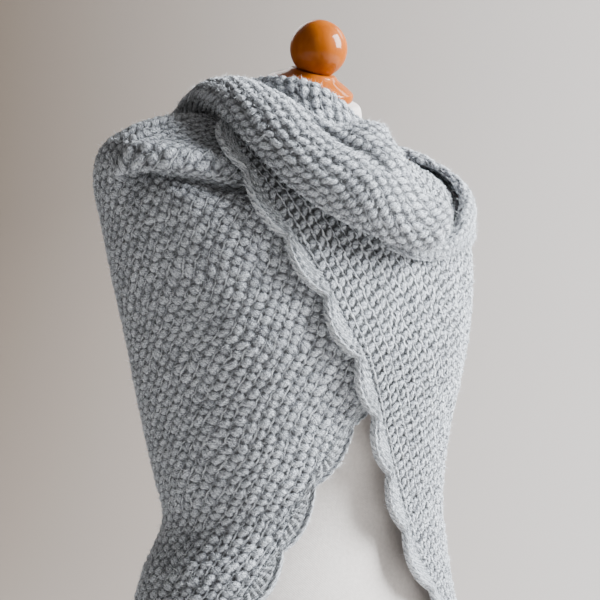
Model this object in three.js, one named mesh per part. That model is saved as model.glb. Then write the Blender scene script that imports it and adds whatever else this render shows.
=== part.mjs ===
// Triangle shawl in chunky crochet, wrapped on a table-top dress form.
// Millimetres, +Z up. The wearer faces -Y and the wearer's left is +X.
// The origin is the centre of the stand's underside.
import * as THREE from 'three';

// Cloth
const WALL = 5;              // thickness of the crocheted cloth
const SEAM = 0.3;            // clearance where two pieces meet
const LAYER = 10;            // how far the upper wing lies outside the lower one
const SCALLOP_PITCH = 72;    // from cusp to cusp along the border
const SCALLOP_DEPTH = 11;    // how far each scallop bulges past its cusps
const BORDER_WIDTH = 11;     // width of the border at a cusp
const BORDER_GAP = 1.25;     // border to half, which also clears the chords of the curved edge
const TIP_BORDER_GAP = 0.6;  // border to tip

// Dress form and stand
const BASE_RADIUS = 150;
const BASE_HEIGHT = 24;
const POLE_RADIUS = 17;
const POLE_TOP = 228;
const PLATE_RADIUS = 74;
const TORSO_BOTTOM = 240;
const NECK_TILT = 21;        // degrees that the neck's end leans forward
const CAP_CENTRE = 965;      // height of the neck cap's middle
const CAP_RADIUS = 48;
const CAP_RIM = 5;           // half the height of the cap's rim
const CAP_TOP_RADIUS = 24;
const CAP_TOP = 19;          // the cap's flat top above its middle
const BALL_RADIUS = 31;
const BALL_CENTRE = 44;      // the ball's centre above the cap's middle

const SQUARENESS = 2.25;     // exponent of every body section, 2 being an ellipse
const ARC_EVENING = 0.12;    // evens the spacing of points round an oval section
const ROUND_CORNERS = 25;    // degrees that a folded edge curls under at each side
const SPINE_TURN = 0.12;     // degrees from the middle of the back to each half's first edge

const FABRIC = { color: 0xaab0b8, roughness: 0.95, metalness: 0 };
const FABRIC_BORDER = { color: 0xb8bec6, roughness: 0.95, metalness: 0 };
const LINEN = { color: 0xd8d0c8, roughness: 0.9, metalness: 0 };
const VARNISHED_WOOD = { color: 0xb4641c, roughness: 0.25, metalness: 0 };

function table(columns, rows) {
  return rows.map((row) => Object.fromEntries(columns.split(' ').map((name, i) => [name, row[i]])));
}

// Sections of the dress form from its underside to the neck's end
const FORM = table('height side front back', [
  [TORSO_BOTTOM, 150, 88, 108],
  [290, 168, 98, 118],
  [360, 170, 100, 116],
  [430, 150, 92, 100],
  [505, 124, 84, 82],
  [560, 128, 92, 84],
  [620, 142, 112, 90],
  [680, 154, 128, 96],
  [740, 164, 120, 102],
  [785, 172, 100, 104],
  [815, 175, 84, 96],
  [836, 179, 72, 86],
  [850, 175, 62, 76],
  [866, 153, 55, 68],
  [880, 127, 52, 62],
  [893, 97, 52, 59],
  [904, 75, 52, 57],
  [916, 62, 52, 54],
  [935, 57, 52, 52],
  [959, 55, 52, 52],
]);
const NECK_TILT_FROM = 900;  // height at which the neck starts to lean
const NECK_TILT_TO = 950;

// Rings of the worn shawl from the neck to the back point: how far each ring reaches
// to the wearer's right, left, front and back, and its height at those four places
const CAPE = table('right left front back zRight zLeft zFront zBack', [
  [69, 69, 63, 63, 924, 917, 902, 916],
  [112, 110, 86, 92, 924, 897, 876, 901],
  [163, 156, 108, 112, 925, 876, 850, 881],
  [209, 182, 124, 124, 914, 854, 826, 857],
  [245, 188, 136, 131, 893, 833, 800, 831],
  [252, 190, 142, 136, 863, 807, 772, 800],
  [241, 191, 145, 138, 816, 775, 742, 765],
  [228, 188, 146, 138, 760, 740, 708, 725],
  [213, 181, 145, 135, 700, 695, 680, 690],
  [203, 175, 136, 130, 650, 650, 645, 648],
  [192, 166, 124, 124, 600, 600, 600, 600],
  [180, 162, 113, 116, 550, 550, 550, 550],
  [170, 162, 108, 112, 505, 505, 505, 505],
  [194, 168, 112, 118, 455, 455, 455, 455],
  [208, 175, 122, 127, 405, 405, 405, 405],
  [213, 188, 130, 138, 345, 345, 345, 345],
  [211, 196, 134, 144, 285, 285, 285, 285],
  [205, 196, 134, 145, 225, 225, 225, 225],
  [196, 190, 130, 143, 165, 165, 165, 165],
  [186, 180, 126, 140, 105, 105, 105, 105],
]);
const LAST_RING = CAPE.length - 1;

// Where each half ends, as degrees round the body from the front (the wearer's left is
// positive), at even steps from the neck to the back point. Its scalloped leg runs from
// the far shoulder across the chest, round the hip and down to the back point.
const LEGS = table('right left', [
  [0, -74],
  [20, -65],
  [28, -43],
  [17, -29],
  [2, -18.5],
  [-15.5, -5],
  [-38, 16],
  [-54, 34],
  [-78, 66],
  [-125, 118],
  [-178, 178],
]);

// The upper part of the left half, rolled outward round the neck and thrown over the
// right shoulder: base is its height above the rings, low and high its half widths
const ROLL = table('turn ring base low high height', [
  [-146, 2.6, 5.2, 28, 26, 9],
  [-130, 1.75, 4, 28, 22, 11],
  [-113, 1.35, 1.6, 24, 17, 12],
  [-96, 1.3, 3, 22, 17, 14],
  [-78, 1.4, 2, 25, 24, 19],
  [-63, 1.75, 2, 34, 30, 26],
  [-49, 2.15, 2, 41, 35, 33],
  [-35, 2.6, 3, 47, 42, 38],
  [-19, 2.95, 6, 49, 46, 41],
  [-3, 3.3, 9, 45, 42, 38],
  [10, 3.65, 12, 37, 34, 30],
  [17, 3.9, 15, 30, 28, 23],
]);
const ROLL_ROUNDING = 0.12;  // share of the roll's length in which its front end closes

// The inner edge of the shawl standing up round the neck: turn round the neck, radius
// and height of its rim, and the ring on which its outer side stands
const NECK_EDGE = table('turn radius rim foot', [
  [-180, 76, 950, 0.95],
  [-140, 78, 958, 0.8],
  [-100, 80, 966, 0.66],
  [-70, 80, 967, 0.66],
  [-42, 79, 962, 0.7],
  [-18, 76, 947, 0.85],
  [5, 73, 928, 0.9],
  [30, 76, 922, 0.9],
  [60, 80, 928, 0.9],
  [100, 80, 936, 0.9],
  [140, 78, 944, 0.9],
  [180, 76, 950, 0.9],
]);

const NECK_EDGE_INSIDE = 9.9; // how far its inner side reaches down past the first ring
const NECK_EDGE_BASE = 0.7;   // clearance of its foot above the halves
const NECK_EDGE_MIDDLE = 0.45; // ring over which its outer side passes, two walls above it

// The end of the left half, thrown over the right shoulder and down the back: at each
// ring it runs from its plain edge to its scalloped one, rim being the height of a fold
// along the plain edge
const RIGHT_TIP = table('innerTurn innerRing outerTurn outerRing rim', [
  [-168, 1.5, -116, 1.5, 0],
  [-170, 3.2, -124, 3.2, 0],
  [-170, 4.9, -130, 4.9, 0],
  [-168, 6.6, -137, 6.6, 0],
  [-164, 8.3, -146, 8.3, 0],
  [-159, 9.8, -154, 9.8, 0],
]);

// The end of the right half: out from under the roll's front end, over the left
// shoulder with its plain edge folded up, and down the back
const LEFT_TIP = table('innerTurn innerRing outerTurn outerRing rim', [
  [-8, 4.4, -8, 4.8, 4],
  [6, 4.55, 7, 5.0, 7],
  [19, 4.5, 22, 5.0, 10],
  [31, 4.1, 38, 4.85, 12],
  [41, 3.4, 54, 4.7, 12],
  [53, 2.65, 70, 4.5, 11],
  [69, 1.95, 86, 4.4, 10],
  [90, 1.5, 100, 4.5, 9],
  [114, 1.4, 112, 4.8, 7],
  [136, 1.8, 121, 5.4, 4],
  [151, 2.9, 129, 6.1, 2],
  [157, 4.6, 137, 6.9, 0],
  [156, 6.4, 144, 7.7, 0],
  [153, 8.3, 150, 8.5, 0],
]);
const TIP_BASE = 1.4;        // clearance of a tip above the half beneath it
const BORDER_FROM = 0.07;     // share of a half's rows that the roll hides, without a border
const TIP_ENDS_SHORT = 0.02; // share of its length by which a tip's border stops short
const LEFT_BORDER_FROM = 0.38; // share of the left tip that its roll keeps free of a border

// Section of a tip from its folded plain edge to its scalloped edge, and the height of
// fold from which it holds in full
const RIM_FULL = 6;
const RIM_SECTION = table('across height', [
  [0, 0], [0, 0.55], [0.04, 0.95], [0.15, 1], [0.34, 0.76], [0.56, 0.36], [0.78, 0.08], [1, 0],
]);

// The slack of the right shoulder hangs over a nearly level crease
const CREASE = {
  turn: -65, ring: 4.15, slope: -0.043, ringHeight: 30, from: -88, full: -74,
  ridge: 9, ridgeAt: -15, ridgeWidth: 13, ridgeFades: -66, ridgeEnds: -52,
  trough: 13, troughAt: 7, troughWidth: 10, troughFades: -46, troughEnds: -36,
};

// The rows of a half start under the neck edge and are finer between two rings, for a
// share of all its rows
const ROWS = {
  count: 38, columns: 18, start: 0.55, fineFrom: 6 / 38, fineTo: 19 / 38, fineStart: 3, fineEnd: 5.4,
};

function spline(rows, along) {
  const last = rows.length - 1;
  const place = THREE.MathUtils.clamp(along, 0, 1) * last;
  const i = Math.min(Math.floor(place), last - 1);
  const t = place - i;
  const before = rows[Math.max(i - 1, 0)];
  const after = rows[Math.min(i + 2, last)];
  const value = {};
  for (const name of Object.keys(rows[0])) {
    const a = rows[i][name];
    const b = rows[i + 1][name];
    const slopeA = (b - before[name]) / 2;
    const slopeB = (after[name] - a) / 2;
    value[name] = (2 * t ** 3 - 3 * t ** 2 + 1) * a + (t ** 3 - 2 * t ** 2 + t) * slopeA
      + (3 * t ** 2 - 2 * t ** 3) * b + (t ** 3 - t ** 2) * slopeB;
  }
  return value;
}

// A point on an oval section with different reaches to each side
function ovalPoint(angle, right, left, front, back) {
  const sine = Math.sin(angle);
  const cosine = Math.cos(angle);
  const bulge = (Math.abs(sine) ** SQUARENESS + Math.abs(cosine) ** SQUARENESS) ** (-1 / SQUARENESS);
  return [(sine < 0 ? right : left) * sine * bulge, -(cosine > 0 ? front : back) * cosine * bulge];
}

// The surface of the worn shawl at a turn round the body (degrees) and a ring
function capePoint(turn, ring) {
  const even = THREE.MathUtils.degToRad(turn);
  const angle = even - ARC_EVENING * Math.sin(2 * even);
  const row = spline(CAPE, ring / LAST_RING);
  const [x, y] = ovalPoint(angle, row.right, row.left, row.front, row.back);
  const sine = Math.sin(angle);
  const cosine = Math.cos(angle);
  const side = sine < 0 ? row.zRight : row.zLeft;
  const end = cosine > 0 ? row.zFront : row.zBack;
  return new THREE.Vector3(x, y, side * sine ** 2 + end * cosine ** 2);
}

function capeNormal(turn, ring) {
  const step = 0.05;
  const round = capePoint(turn + step, ring).sub(capePoint(turn - step, ring));
  const upper = Math.max(ring - step, 0);
  const lower = Math.min(ring + step, LAST_RING);
  const down = capePoint(turn, lower).sub(capePoint(turn, upper));
  return down.cross(round).normalize();
}

function offCape(turn, ring, distance) {
  return capePoint(turn, ring).addScaledVector(capeNormal(turn, ring), distance);
}

// 0 where only the right half covers the body, 1 where the left half lies on it alone
function leftShare(turn) {
  return THREE.MathUtils.smoothstep(turn, -60, 50);
}

// The outermost layer above the rings, on which the roll, the neck edge and the tips lie
function topLayer(turn) {
  return LAYER * THREE.MathUtils.smoothstep(turn, -104, -84) * (1 - leftShare(turn));
}

function creaseDepth(turn, ring) {
  const c = CREASE;
  const start = THREE.MathUtils.smoothstep(turn, c.from, c.full);
  const below = (ring - c.ring - c.slope * (turn - c.turn)) * c.ringHeight;
  const ridge = c.ridge * Math.exp(-(((below - c.ridgeAt) / c.ridgeWidth) ** 2));
  const trough = c.trough * Math.exp(-(((below - c.troughAt) / c.troughWidth) ** 2));
  return start * (ridge * (1 - THREE.MathUtils.smoothstep(turn, c.ridgeFades, c.ridgeEnds))
    - trough * (1 - THREE.MathUtils.smoothstep(turn, c.troughFades, c.troughEnds)));
}

function rightHalfPoint(across, ring) {
  const leg = spline(LEGS, ring / LAST_RING).right;
  const turn = THREE.MathUtils.lerp(-180 + SPINE_TURN, leg, across);
  return offCape(turn, ring, creaseDepth(turn, ring) - LAYER * leftShare(turn));
}

function leftHalfPoint(across, ring) {
  const leg = spline(LEGS, ring / LAST_RING).left;
  const turn = THREE.MathUtils.lerp(180 - SPINE_TURN, leg, across);
  return offCape(turn, ring, LAYER * (1 - leftShare(turn)));
}

// Rings for the rows of a half, closest together about the crease
function rowRing(share) {
  const fine = THREE.MathUtils.clamp((share - ROWS.fineFrom) / (ROWS.fineTo - ROWS.fineFrom), 0, 1);
  const above = THREE.MathUtils.lerp(ROWS.start, ROWS.fineStart, Math.min(share / ROWS.fineFrom, 1));
  const within = fine * (ROWS.fineEnd - ROWS.fineStart);
  const below = Math.max((share - ROWS.fineTo) / (1 - ROWS.fineTo), 0) * (LAST_RING - ROWS.fineEnd);
  return above + within + below;
}

function grid(rows, columns, point) {
  const points = [];
  for (let i = 0; i <= rows; i += 1) {
    const line = [];
    for (let j = 0; j <= columns; j += 1) line.push(point(i / rows, j / columns));
    points.push(line);
  }
  return points;
}

function gridNormal(points, i, j, closed) {
  const last = points.length - 1;
  const lastColumn = points[0].length - 1;
  const before = closed && i === 0 ? last - 1 : Math.max(i - 1, 0);
  const after = closed && i === last ? 1 : Math.min(i + 1, last);
  const along = points[after][j].clone().sub(points[before][j]);
  const across = points[i][Math.min(j + 1, lastColumn)].clone().sub(points[i][Math.max(j - 1, 0)]);
  return along.cross(across).normalize();
}

function solid(vertices, faces) {
  let volume = 0;
  const [a, b, c] = [new THREE.Vector3(), new THREE.Vector3(), new THREE.Vector3()];
  for (const face of faces) {
    a.copy(vertices[face[0]]);
    b.copy(vertices[face[1]]);
    c.copy(vertices[face[2]]);
    volume += a.dot(b.cross(c));
  }
  const index = volume > 0 ? faces.flat() : faces.map((face) => [face[0], face[2], face[1]]).flat();
  const geometry = new THREE.BufferGeometry();
  geometry.setAttribute('position', new THREE.Float32BufferAttribute(vertices.flatMap((p) => p.toArray()), 3));
  geometry.setIndex(index);
  geometry.computeVertexNormals();
  return geometry;
}

// A wall of even thickness behind a grid of outer points. side is 1 or -1 and tells
// which way is inward, and a closed grid joins its last row to its first.
function wall(points, side, thickness = WALL, closed = false) {
  const rows = closed ? points.length - 1 : points.length;
  const columns = points[0].length;
  const vertices = [];
  for (let i = 0; i < rows; i += 1) vertices.push(...points[i]);
  for (let i = 0; i < rows; i += 1) {
    for (let j = 0; j < columns; j += 1) {
      const inward = gridNormal(points, i, j, closed).multiplyScalar(side * thickness);
      vertices.push(points[i][j].clone().add(inward));
    }
  }
  const inner = rows * columns;
  const at = (i, j, layer) => layer * inner + (i % rows) * columns + j;
  const faces = [];
  const quad = (p, q, r, s) => faces.push([p, q, r], [p, r, s]);
  const steps = closed ? rows : rows - 1;
  for (let i = 0; i < steps; i += 1) {
    for (let j = 0; j < columns - 1; j += 1) {
      quad(at(i, j, 0), at(i + 1, j, 0), at(i + 1, j + 1, 0), at(i, j + 1, 0));
      quad(at(i, j + 1, 1), at(i + 1, j + 1, 1), at(i + 1, j, 1), at(i, j, 1));
    }
    quad(at(i + 1, 0, 0), at(i, 0, 0), at(i, 0, 1), at(i + 1, 0, 1));
    quad(at(i, columns - 1, 0), at(i + 1, columns - 1, 0), at(i + 1, columns - 1, 1), at(i, columns - 1, 1));
  }
  if (!closed) {
    for (let j = 0; j < columns - 1; j += 1) {
      quad(at(0, j, 0), at(0, j + 1, 0), at(0, j + 1, 1), at(0, j, 1));
      quad(at(rows - 1, j + 1, 0), at(rows - 1, j, 0), at(rows - 1, j, 1), at(rows - 1, j + 1, 1));
    }
  }
  return solid(vertices, faces);
}

// How far the border reaches at a distance along it: arcs that meet in cusps
function scallop(distance) {
  return BORDER_WIDTH + SCALLOP_DEPTH * Math.abs(Math.sin(Math.PI * distance / SCALLOP_PITCH)) ** 0.8;
}

// A border strip along the last column of a panel's grid, between two shares of its
// length. Where it turns down, its far end faces the ground to close the back point.
function borderGrid(panel, steps, from, to, gap, turnsDown) {
  const rows = panel.length - 1;
  const column = panel[0].length - 1;
  const onPanel = (share, j) => {
    const place = THREE.MathUtils.clamp(share, 0, 1) * rows;
    const i = Math.min(Math.floor(place), rows - 1);
    return panel[i][j].clone().lerp(panel[i + 1][j], place - i);
  };
  const points = [];
  let travelled = 0;
  let previous = onPanel(from, column);
  for (let i = 0; i <= steps; i += 1) {
    const share = THREE.MathUtils.lerp(from, to, i / steps);
    const root = onPanel(share, column);
    travelled += root.distanceTo(previous);
    previous = root;
    const along = onPanel(share + 0.5 / rows, column).sub(onPanel(share - 0.5 / rows, column)).normalize();
    const outward = root.clone().sub(onPanel(share, column - 1));
    outward.addScaledVector(along, -outward.dot(along)).normalize();
    if (turnsDown) outward.lerp(new THREE.Vector3(0, 0, -1), THREE.MathUtils.smoothstep(share, 0.97, 1)).normalize();
    const start = root.clone().addScaledVector(outward, gap);
    points.push([start, start.clone().addScaledVector(outward, scallop(travelled))]);
  }
  return points;
}

// A folded edge laid on the cape: an arch over the path in the table, open towards
// the body. rounding is the share of its length in which the far end closes.
function foldGrid(rows, steps, sides, rounding) {
  const centres = [];
  for (let i = 0; i <= steps; i += 1) {
    const row = spline(rows, i / steps);
    const curl = Math.sin(THREE.MathUtils.degToRad(ROUND_CORNERS));
    const closing = rounding > 0 ? Math.max((i / steps - 1 + rounding) / rounding, 0) : 0;
    const scale = Math.sqrt(Math.max(1 - closing ** 2, 0.05));
    const lift = topLayer(row.turn) + row.base + WALL + row.height * curl;
    centres.push({ row, scale, centre: offCape(row.turn, row.ring, lift), up: capeNormal(row.turn, row.ring) });
  }
  return centres.map(({ row, scale, centre, up }, i) => {
    const along = centres[Math.min(i + 1, steps)].centre.clone().sub(centres[Math.max(i - 1, 0)].centre).normalize();
    const outward = up.clone().addScaledVector(along, -up.dot(along)).normalize();
    const across = outward.clone().cross(along);
    const line = [];
    for (let j = 0; j <= sides; j += 1) {
      const angle = THREE.MathUtils.degToRad(THREE.MathUtils.lerp(-ROUND_CORNERS, 180 + ROUND_CORNERS, j / sides));
      const reach = (Math.cos(angle) > 0 ? row.high : row.low) * Math.cos(angle) * scale;
      line.push(centre.clone().addScaledVector(across, reach)
        .addScaledVector(outward, row.height * Math.sin(angle) * scale));
    }
    return line;
  });
}

// The standing edge round the neck: up inside, over the rim and down outside
function neckEdgePoint(round, over) {
  const row = spline(NECK_EDGE, round);
  const angle = THREE.MathUtils.degToRad(row.turn);
  const foot = offCape(row.turn, row.foot, topLayer(row.turn) + NECK_EDGE_BASE + WALL);
  const inside = capePoint(row.turn, 0);
  const out = [Math.sin(angle), -Math.cos(angle)];
  const at = (radius, height) => ({ x: radius * out[0], y: radius * out[1], z: height });
  const section = [
    at(row.radius - 8, inside.z - NECK_EDGE_INSIDE),
    at(row.radius - 8, (inside.z - NECK_EDGE_INSIDE + row.rim) / 2),
    at(row.radius, row.rim),
    at(row.radius + 7, row.rim - 8),
    offCape(row.turn, NECK_EDGE_MIDDLE, topLayer(row.turn) + 2 * WALL),
    foot,
  ];
  const { x, y, z } = spline(section.map((p) => ({ x: p.x, y: p.y, z: p.z })), over);
  return new THREE.Vector3(x, y, z);
}

function tipPoint(rows, across, down) {
  const row = spline(rows, down);
  const section = spline(RIM_SECTION, across);
  const folded = Math.min(row.rim / RIM_FULL, 1);
  const place = THREE.MathUtils.lerp(across, section.across, folded);
  const turn = THREE.MathUtils.lerp(row.innerTurn, row.outerTurn, place);
  const ring = THREE.MathUtils.lerp(row.innerRing, row.outerRing, place);
  return offCape(turn, ring, topLayer(turn) + TIP_BASE + WALL + row.rim * section.height);
}

// A lathe turned about the Z axis from a profile of [radius, height] pairs
function turned(profile, segments) {
  const geometry = new THREE.LatheGeometry(profile.map(([r, h]) => new THREE.Vector2(r, h)), segments);
  return geometry.rotateX(Math.PI / 2);
}

function roundedProfile(radius, bottom, top, rounding) {
  const profile = [[0, bottom], [radius, bottom]];
  for (let i = 0; i <= 4; i += 1) {
    const angle = (i / 4) * (Math.PI / 2);
    profile.push([radius - rounding * (1 - Math.cos(angle)), top - rounding * (1 - Math.sin(angle))]);
  }
  profile.push([0, top]);
  return profile;
}

const part = new THREE.Group();

function add(name, geometry, look, parent = part) {
  const mesh = new THREE.Mesh(geometry, new THREE.MeshStandardMaterial(look));
  mesh.name = name;
  parent.add(mesh);
  return mesh;
}

function addStand() {
  add('stand_base', turned(roundedProfile(BASE_RADIUS, 0, BASE_HEIGHT, 8), 40), VARNISHED_WOOD);
  const low = BASE_HEIGHT + SEAM;
  const pole = [[0, low], [POLE_RADIUS + 14, low], [POLE_RADIUS + 10, low + 8], [POLE_RADIUS, low + 16],
    [POLE_RADIUS, POLE_TOP - 6], [POLE_RADIUS + 6, POLE_TOP], [0, POLE_TOP]];
  add('stand_pole', turned(pole, 24), VARNISHED_WOOD);
  const plate = roundedProfile(PLATE_RADIUS, POLE_TOP + SEAM, TORSO_BOTTOM - SEAM, 3);
  add('form_plate', turned(plate, 28), VARNISHED_WOOD);
}

function addForm() {
  const levels = 28;
  const sides = 28;
  const tilt = Math.tan(THREE.MathUtils.degToRad(NECK_TILT));
  const vertices = [];
  for (let i = 0; i <= levels; i += 1) {
    const row = spline(FORM, i / levels);
    const lean = tilt * THREE.MathUtils.smoothstep(row.height, NECK_TILT_FROM, NECK_TILT_TO);
    for (let j = 0; j < sides; j += 1) {
      const even = (j / sides) * 2 * Math.PI;
      const angle = even - ARC_EVENING * Math.sin(2 * even);
      const [x, y] = ovalPoint(angle, row.side, row.side, row.front, row.back);
      vertices.push(new THREE.Vector3(x, y, row.height + lean * y));
    }
  }
  const faces = [];
  for (let i = 0; i < levels; i += 1) {
    for (let j = 0; j < sides; j += 1) {
      const next = (j + 1) % sides;
      const [a, b, c, d] = [i * sides + j, i * sides + next, (i + 1) * sides + next, (i + 1) * sides + j];
      faces.push([a, b, c], [a, c, d]);
    }
  }
  const bottom = vertices.push(new THREE.Vector3(0, 0, FORM[0].height)) - 1;
  const top = vertices.push(new THREE.Vector3(0, 0, FORM.at(-1).height)) - 1;
  for (let j = 0; j < sides; j += 1) {
    const next = (j + 1) % sides;
    faces.push([bottom, next, j], [top, levels * sides + j, levels * sides + next]);
  }
  add('form_torso', solid(vertices, faces), LINEN);
}

function addNeckCap() {
  const head = new THREE.Group();
  head.position.set(0, 0, CAP_CENTRE);
  head.rotation.x = THREE.MathUtils.degToRad(NECK_TILT);
  const cap = [[0, -CAP_RIM], [CAP_RADIUS, -CAP_RIM], [CAP_RADIUS, CAP_RIM], [CAP_TOP_RADIUS, CAP_TOP], [0, CAP_TOP]];
  add('neck_cap', turned(cap, 32), VARNISHED_WOOD, head);
  const flat = BALL_CENTRE - CAP_TOP - SEAM;
  const start = Math.asin(-flat / BALL_RADIUS);
  const ball = [[0, CAP_TOP + SEAM]];
  for (let i = 0; i < 11; i += 1) {
    const angle = THREE.MathUtils.lerp(start, Math.PI / 2, i / 11);
    ball.push([BALL_RADIUS * Math.cos(angle), BALL_CENTRE + BALL_RADIUS * Math.sin(angle)]);
  }
  ball.push([0, BALL_CENTRE + BALL_RADIUS]);
  add('neck_ball', turned(ball, 24), VARNISHED_WOOD, head);
  part.add(head);
}

function addHalves() {
  const half = (point) => grid(ROWS.count, ROWS.columns, (down, across) => point(across, rowRing(down)));
  const halves = [
    { name: 'right_half', points: half(rightHalfPoint), side: -1 },
    { name: 'left_half', points: half(leftHalfPoint), side: 1 },
  ];
  for (const { name, points, side } of halves) {
    add(`shawl_${name}`, wall(points, side), FABRIC);
    add(`border_${name}`, wall(borderGrid(points, 96, BORDER_FROM, 1, BORDER_GAP, true), side), FABRIC_BORDER);
  }
}

function addCollar() {
  add('collar_roll', wall(foldGrid(ROLL, 36, 8, ROLL_ROUNDING), 1), FABRIC);
  add('neck_edge', wall(grid(32, 9, neckEdgePoint), 1, WALL, true), FABRIC);
}

function addThrownTips() {
  const tips = [
    { name: 'right_shoulder_tip', rows: RIGHT_TIP, steps: 16, side: -1, from: TIP_ENDS_SHORT },
    { name: 'left_shoulder_tip', rows: LEFT_TIP, steps: 30, side: 1, from: LEFT_BORDER_FROM },
  ];
  for (const { name, rows, steps, side, from } of tips) {
    const points = grid(steps, 8, (down, across) => tipPoint(rows, across, down));
    add(name, wall(points, side), FABRIC);
    const border = borderGrid(points, 40, from, 1 - TIP_ENDS_SHORT, TIP_BORDER_GAP, false);
    add(`${name}_border`, wall(border, side), FABRIC_BORDER);
  }
}

addStand();
addForm();
addNeckCap();
addHalves();
addCollar();
addThrownTips();

export default part;
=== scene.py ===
# Triangle shawl in chunky crochet on a table-top dress form: its looks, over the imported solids.
# Tables and shapes are in millimetres and repeat those of the part, and meshes are in metres.
import math

import bpy
import numpy as np
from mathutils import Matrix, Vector


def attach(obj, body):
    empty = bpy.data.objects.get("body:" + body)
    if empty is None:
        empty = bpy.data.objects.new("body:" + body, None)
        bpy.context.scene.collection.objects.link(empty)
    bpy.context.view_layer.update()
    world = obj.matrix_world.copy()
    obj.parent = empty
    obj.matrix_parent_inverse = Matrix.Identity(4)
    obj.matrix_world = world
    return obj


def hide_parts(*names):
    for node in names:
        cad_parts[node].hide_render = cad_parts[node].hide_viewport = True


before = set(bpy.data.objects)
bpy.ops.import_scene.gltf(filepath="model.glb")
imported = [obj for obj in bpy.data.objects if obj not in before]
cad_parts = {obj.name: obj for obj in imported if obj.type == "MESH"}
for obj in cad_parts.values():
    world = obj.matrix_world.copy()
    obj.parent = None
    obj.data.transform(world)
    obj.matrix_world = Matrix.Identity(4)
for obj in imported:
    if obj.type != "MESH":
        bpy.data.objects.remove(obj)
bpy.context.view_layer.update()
MM = 0.001

# Cloth
WALL = 5.0
LAYER = 10.0
SCALLOP_PITCH = 72.0
SCALLOP_DEPTH = 11.0
BORDER_WIDTH = 11.0
SQUARENESS = 2.25
ARC_EVENING = 0.12
SPINE_TURN = 0.12

CAPE = np.array([  # right left front back zRight zLeft zFront zBack
    [69, 69, 63, 63, 924, 917, 902, 916],
    [112, 110, 86, 92, 924, 897, 876, 901],
    [163, 156, 108, 112, 925, 876, 850, 881],
    [209, 182, 124, 124, 914, 854, 826, 857],
    [245, 188, 136, 131, 893, 833, 800, 831],
    [252, 190, 142, 136, 863, 807, 772, 800],
    [241, 191, 145, 138, 816, 775, 742, 765],
    [228, 188, 146, 138, 760, 740, 708, 725],
    [213, 181, 145, 135, 700, 695, 680, 690],
    [203, 175, 136, 130, 650, 650, 645, 648],
    [192, 166, 124, 124, 600, 600, 600, 600],
    [180, 162, 113, 116, 550, 550, 550, 550],
    [170, 162, 108, 112, 505, 505, 505, 505],
    [194, 168, 112, 118, 455, 455, 455, 455],
    [208, 175, 122, 127, 405, 405, 405, 405],
    [213, 188, 130, 138, 345, 345, 345, 345],
    [211, 196, 134, 144, 285, 285, 285, 285],
    [205, 196, 134, 145, 225, 225, 225, 225],
    [196, 190, 130, 143, 165, 165, 165, 165],
    [186, 180, 126, 140, 105, 105, 105, 105],
], float)
LAST_RING = len(CAPE) - 1
FIRST_RING = 0.5  # where the halves start, under the neck edge

LEGS = np.array([  # right left: turns in degrees where each half ends
    [0, -74], [20, -65], [28, -43], [17, -29], [2, -18.5], [-15.5, -5],
    [-38, 16], [-54, 34], [-78, 66], [-125, 118], [-178, 178],
], float)

ROLL = np.array([  # turn ring base low high height
    [-146, 2.6, 5.2, 28, 26, 9],
    [-130, 1.75, 4, 30, 22, 11],
    [-113, 1.35, 0, 28, 17, 12],
    [-96, 1.3, -3, 29, 17, 16],
    [-78, 1.4, -6, 31, 22, 23],
    [-63, 1.75, -2, 38, 25, 27],
    [-49, 2.15, 1, 45, 29, 32],
    [-35, 2.6, 3, 52, 40, 36],
    [-19, 2.95, 6, 54, 50, 43],
    [-3, 3.52, 9, 43, 11, 33],
    [10, 3.8, 12, 36, 15, 28],
    [17, 3.98, 15, 30, 14, 22],
], float)

NECK_EDGE = np.array([  # turn radius rim foot
    [-180, 76, 950, 0.95],
    [-140, 78, 958, 0.8],
    [-100, 80, 966, 0.66],
    [-70, 80, 967, 0.66],
    [-42, 79, 962, 0.7],
    [-18, 76, 947, 0.85],
    [5, 73, 928, 0.9],
    [30, 76, 922, 0.9],
    [60, 80, 928, 0.9],
    [100, 80, 936, 0.9],
    [140, 78, 944, 0.9],
    [180, 76, 950, 0.9],
], float)
NECK_EDGE_INSIDE = 9.9
NECK_EDGE_BASE = 0.7
NECK_EDGE_MIDDLE = 0.45

RIGHT_TIP = np.array([  # innerTurn innerRing outerTurn outerRing rim
    [-168, 1.5, -116, 1.5, 0],
    [-170, 3.2, -124, 3.2, 0],
    [-170, 4.9, -130, 4.9, 0],
    [-168, 6.6, -137, 6.6, 0],
    [-164, 8.3, -146, 8.3, 0],
    [-159, 9.8, -154, 9.8, 0],
], float)
LEFT_TIP = np.array([
    [-8, 4.15, -8, 4.5, 3],
    [6, 4.45, 7, 4.9, 7],
    [19, 4.5, 22, 5.0, 10],
    [31, 4.1, 38, 4.85, 12],
    [41, 3.4, 54, 4.7, 12],
    [53, 2.65, 70, 4.5, 11],
    [69, 1.95, 86, 4.4, 10],
    [90, 1.15, 100, 4.5, 15],
    [114, 1.2, 112, 4.8, 11],
    [136, 1.8, 121, 5.4, 4],
    [151, 2.9, 129, 6.1, 2],
    [157, 4.6, 137, 6.9, 0],
    [156, 6.4, 144, 7.7, 0],
    [153, 8.3, 150, 8.5, 0],
], float)
TIP_BASE = 1.4
RIM_FULL = 6.0
RIM_SECTION = np.array([  # across height
    [0, 0], [0, 0.55], [0.04, 0.95], [0.15, 1], [0.34, 0.76], [0.56, 0.36], [0.78, 0.08], [1, 0],
], float)

# Crochet
STITCH = 11.0          # along a row
ROW = 11.5             # from row to row
PUFF = 4.4             # from the bottom of a gap to the top of a puff
SINK = 2.9             # how far a gap lies below the cloth's mean outer side
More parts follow.
